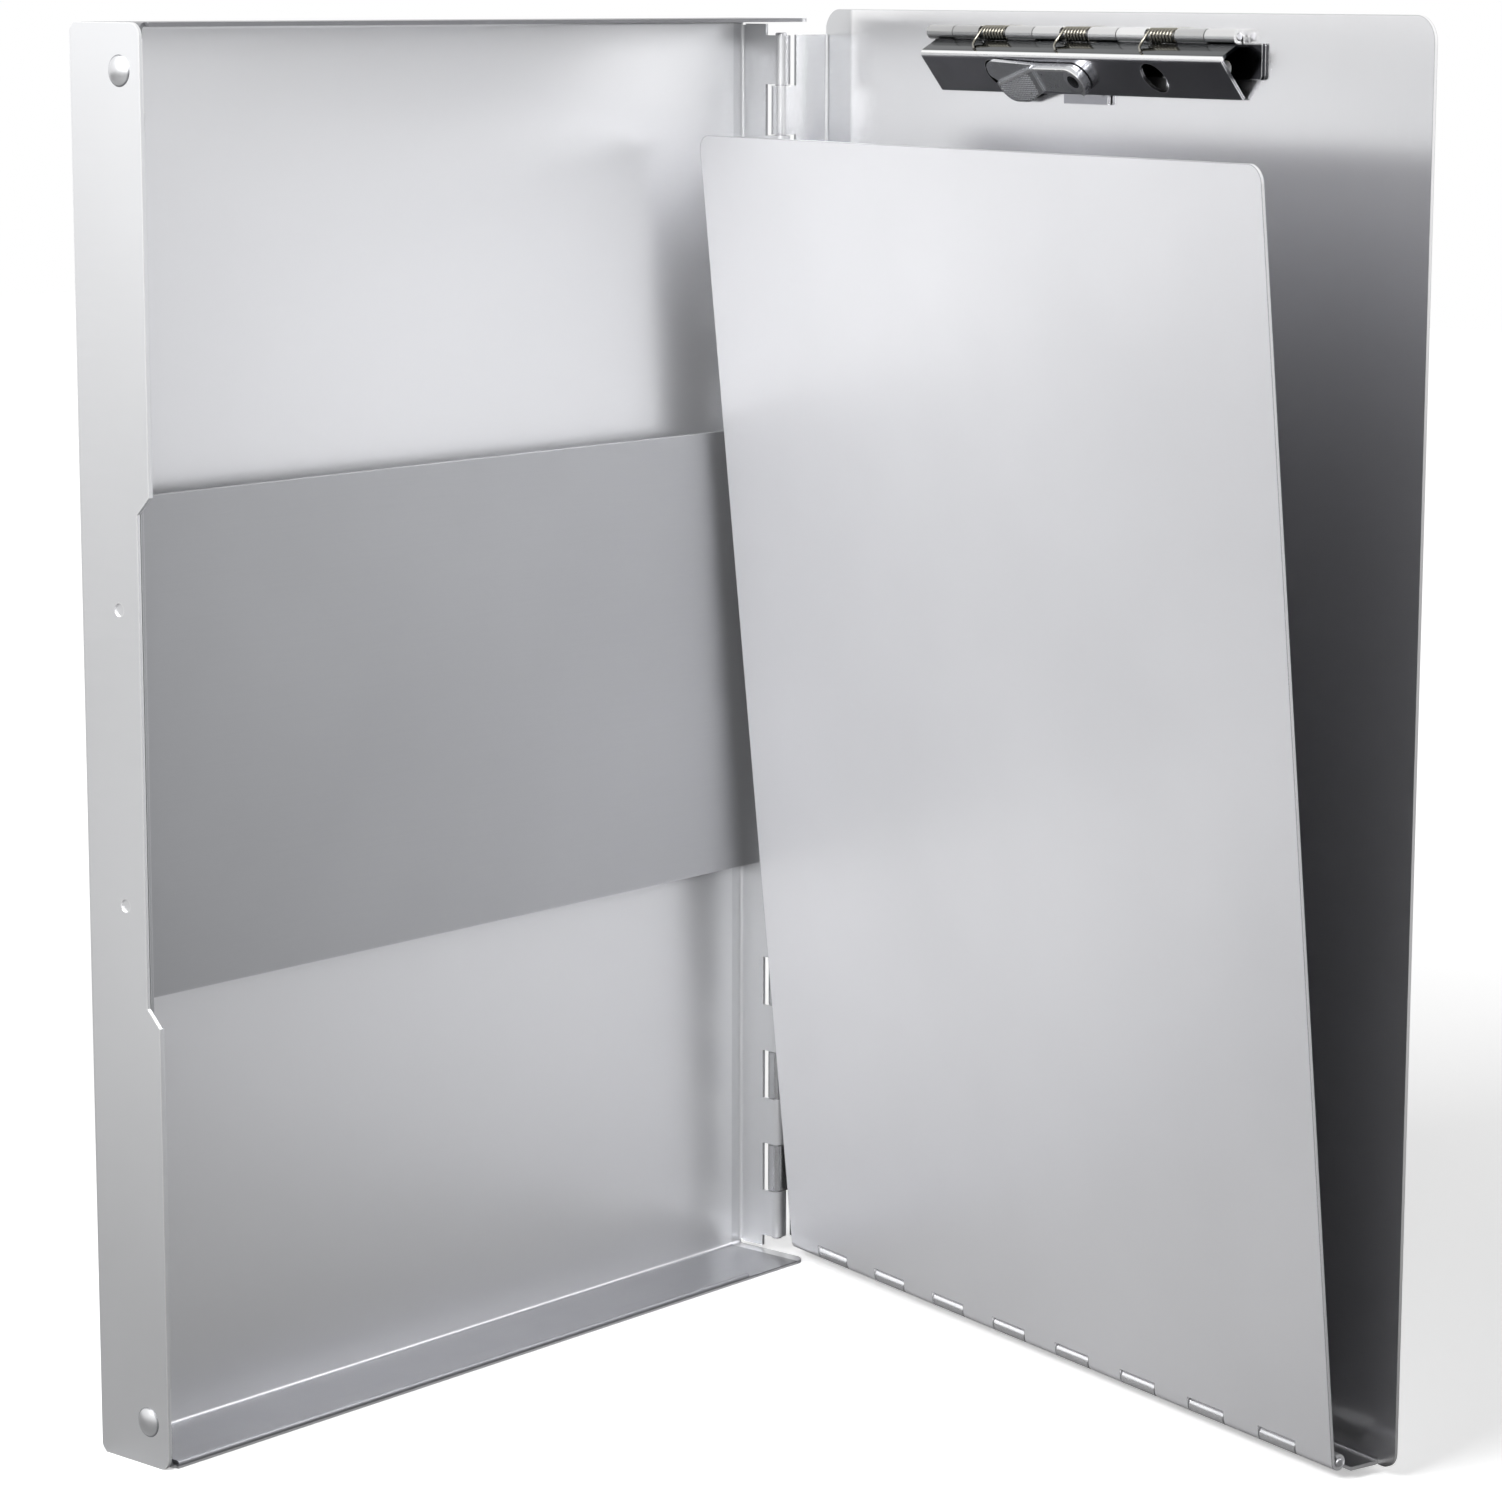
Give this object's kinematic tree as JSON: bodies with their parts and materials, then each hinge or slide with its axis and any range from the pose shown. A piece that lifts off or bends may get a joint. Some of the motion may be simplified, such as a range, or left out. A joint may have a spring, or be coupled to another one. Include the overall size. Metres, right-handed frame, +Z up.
{
  "type": "form holder box",
  "caption": "Shallow sheet-metal box that stands open like a book, with a pin-hinged cover, a hinged writing plate and a sprung clip with a thumb lever.",
  "frame": {"origin": "middle of the tray's underside, the face it stands on", "axes": "+Z up, the tray opens towards -Y, the spine hinge is at +X"},
  "size_m": [0.2406, 0.2369, 0.3282],
  "materials": {
    "tray_sheet": "satin",
    "band_sheet": "satin",
    "cover_sheet": "satin",
    "plate_sheet": "satin",
    "pins": "satin",
    "rivets": "satin",
    "clip_steel": "bright nickel",
    "spring_wire": "drawn wire",
    "lever_steel": "nickel"
  },
  "bodies": {
    "tray": {"tray_shell": "tray_sheet", "cross_band": "band_sheet", "lower_corner_rivet": "rivets", "upper_corner_rivet": "rivets", "spine_pin": "pins"},
    "cover": {"cover_shell": "cover_sheet", "lower_hinge_pin": "pins", "clip_base": "clip_steel", "clip_base_rivet_left": "rivets", "clip_base_rivet_right": "rivets", "clip_pin": "clip_steel"},
    "plate": {"writing_plate": "plate_sheet"},
    "jaw": {"clip_jaw": "clip_steel", "clip_spring_left": "spring_wire", "clip_spring_middle": "spring_wire", "clip_spring_right": "spring_wire", "lever_eyelet": "lever_steel"},
    "lever": {"clip_lever": "lever_steel"}
  },
  "joints": [
    {"name": "spine_hinge", "type": "hinge", "parent": "tray", "child": "cover", "pos_m": [0.1143, 0.0003, 0.163], "axis": [0, 0, 1], "range_deg": [-75, 105]},
    {"name": "plate_hinge", "type": "hinge", "parent": "cover", "child": "plate", "pos_m": [0.08704, -0.11073, 0.0041], "axis": [-0.2588, -0.9659, 0], "range_deg": [-7.8, 10.9]},
    {"name": "jaw_hinge", "type": "hinge", "parent": "cover", "child": "jaw", "pos_m": [0.09647, -0.10777, 0.32295], "axis": [0.2588, 0.9659, 0], "range_deg": [0, 25], "stiffness_Nm_per_rad": 0.1, "springref_deg": -20.05},
    {"name": "lever_pivot", "type": "hinge", "parent": "jaw", "child": "lever", "pos_m": [0.09388, -0.10987, 0.31317], "axis": [0.761, -0.2039, 0.6159], "range_deg": [0, 10]}
  ],
  "couplings": [
    {"joint": "plate_hinge", "follows": "spine_hinge", "ratio": 0.10267}
  ]
}
